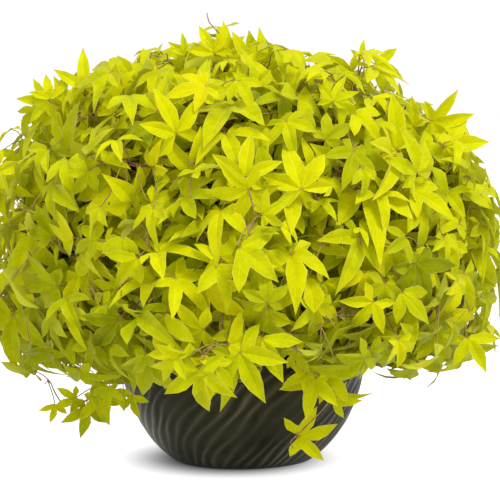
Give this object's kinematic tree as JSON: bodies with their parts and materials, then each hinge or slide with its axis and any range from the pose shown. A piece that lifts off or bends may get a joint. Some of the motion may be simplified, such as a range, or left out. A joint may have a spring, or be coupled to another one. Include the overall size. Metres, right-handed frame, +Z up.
{
  "type": "potted sweet potato vine",
  "caption": "Round glazed bowl planter of soil with a mounded sweet potato vine: trailing stems under a dense dome of lime-green lobed leaves that hangs over the rim.",
  "frame": {"origin": "centre of the flat underside of the bowl planter", "axes": "+Z up, -Y towards the viewer of the pictured side, +X to the viewer's right"},
  "size_m": [0.6795, 0.6577, 0.5576],
  "materials": {
    "glazed_stoneware": "dark brown-green glossy glaze",
    "potting_soil": "crumbly and damp",
    "woody_stem": "rough brown bark",
    "vine": "satin pale tan to purple skin",
    "lime_leaves": "satin lime-green leaf"
  },
  "bodies": {
    "root": {"bowl": "glazed_stoneware", "shoulder_1_leaves": "lime_leaves", "shoulder_1_vine": "vine", "shoulder_2_leaves": "lime_leaves", "shoulder_2_vine": "vine", "shoulder_3_leaves": "lime_leaves", "shoulder_3_vine": "vine", "shoulder_4_leaves": "lime_leaves", "shoulder_4_vine": "vine", "shoulder_5_leaves": "lime_leaves", "shoulder_5_vine": "vine", "skirt_1_leaves": "lime_leaves", "skirt_1_vine": "vine", "skirt_2_leaves": "lime_leaves", "skirt_2_vine": "vine", "skirt_3_leaves": "lime_leaves", "skirt_3_vine": "vine", "skirt_4_leaves": "lime_leaves", "skirt_4_vine": "vine", "skirt_5_leaves": "lime_leaves", "skirt_5_vine": "vine", "skirt_6_leaves": "lime_leaves", "skirt_6_vine": "vine", "skirt_7_leaves": "lime_leaves", "skirt_7_vine": "vine", "soil": "potting_soil", "top_leaves": "lime_leaves", "top_vine": "vine", "woody_stem": "woody_stem"}
  },
  "joints": []
}
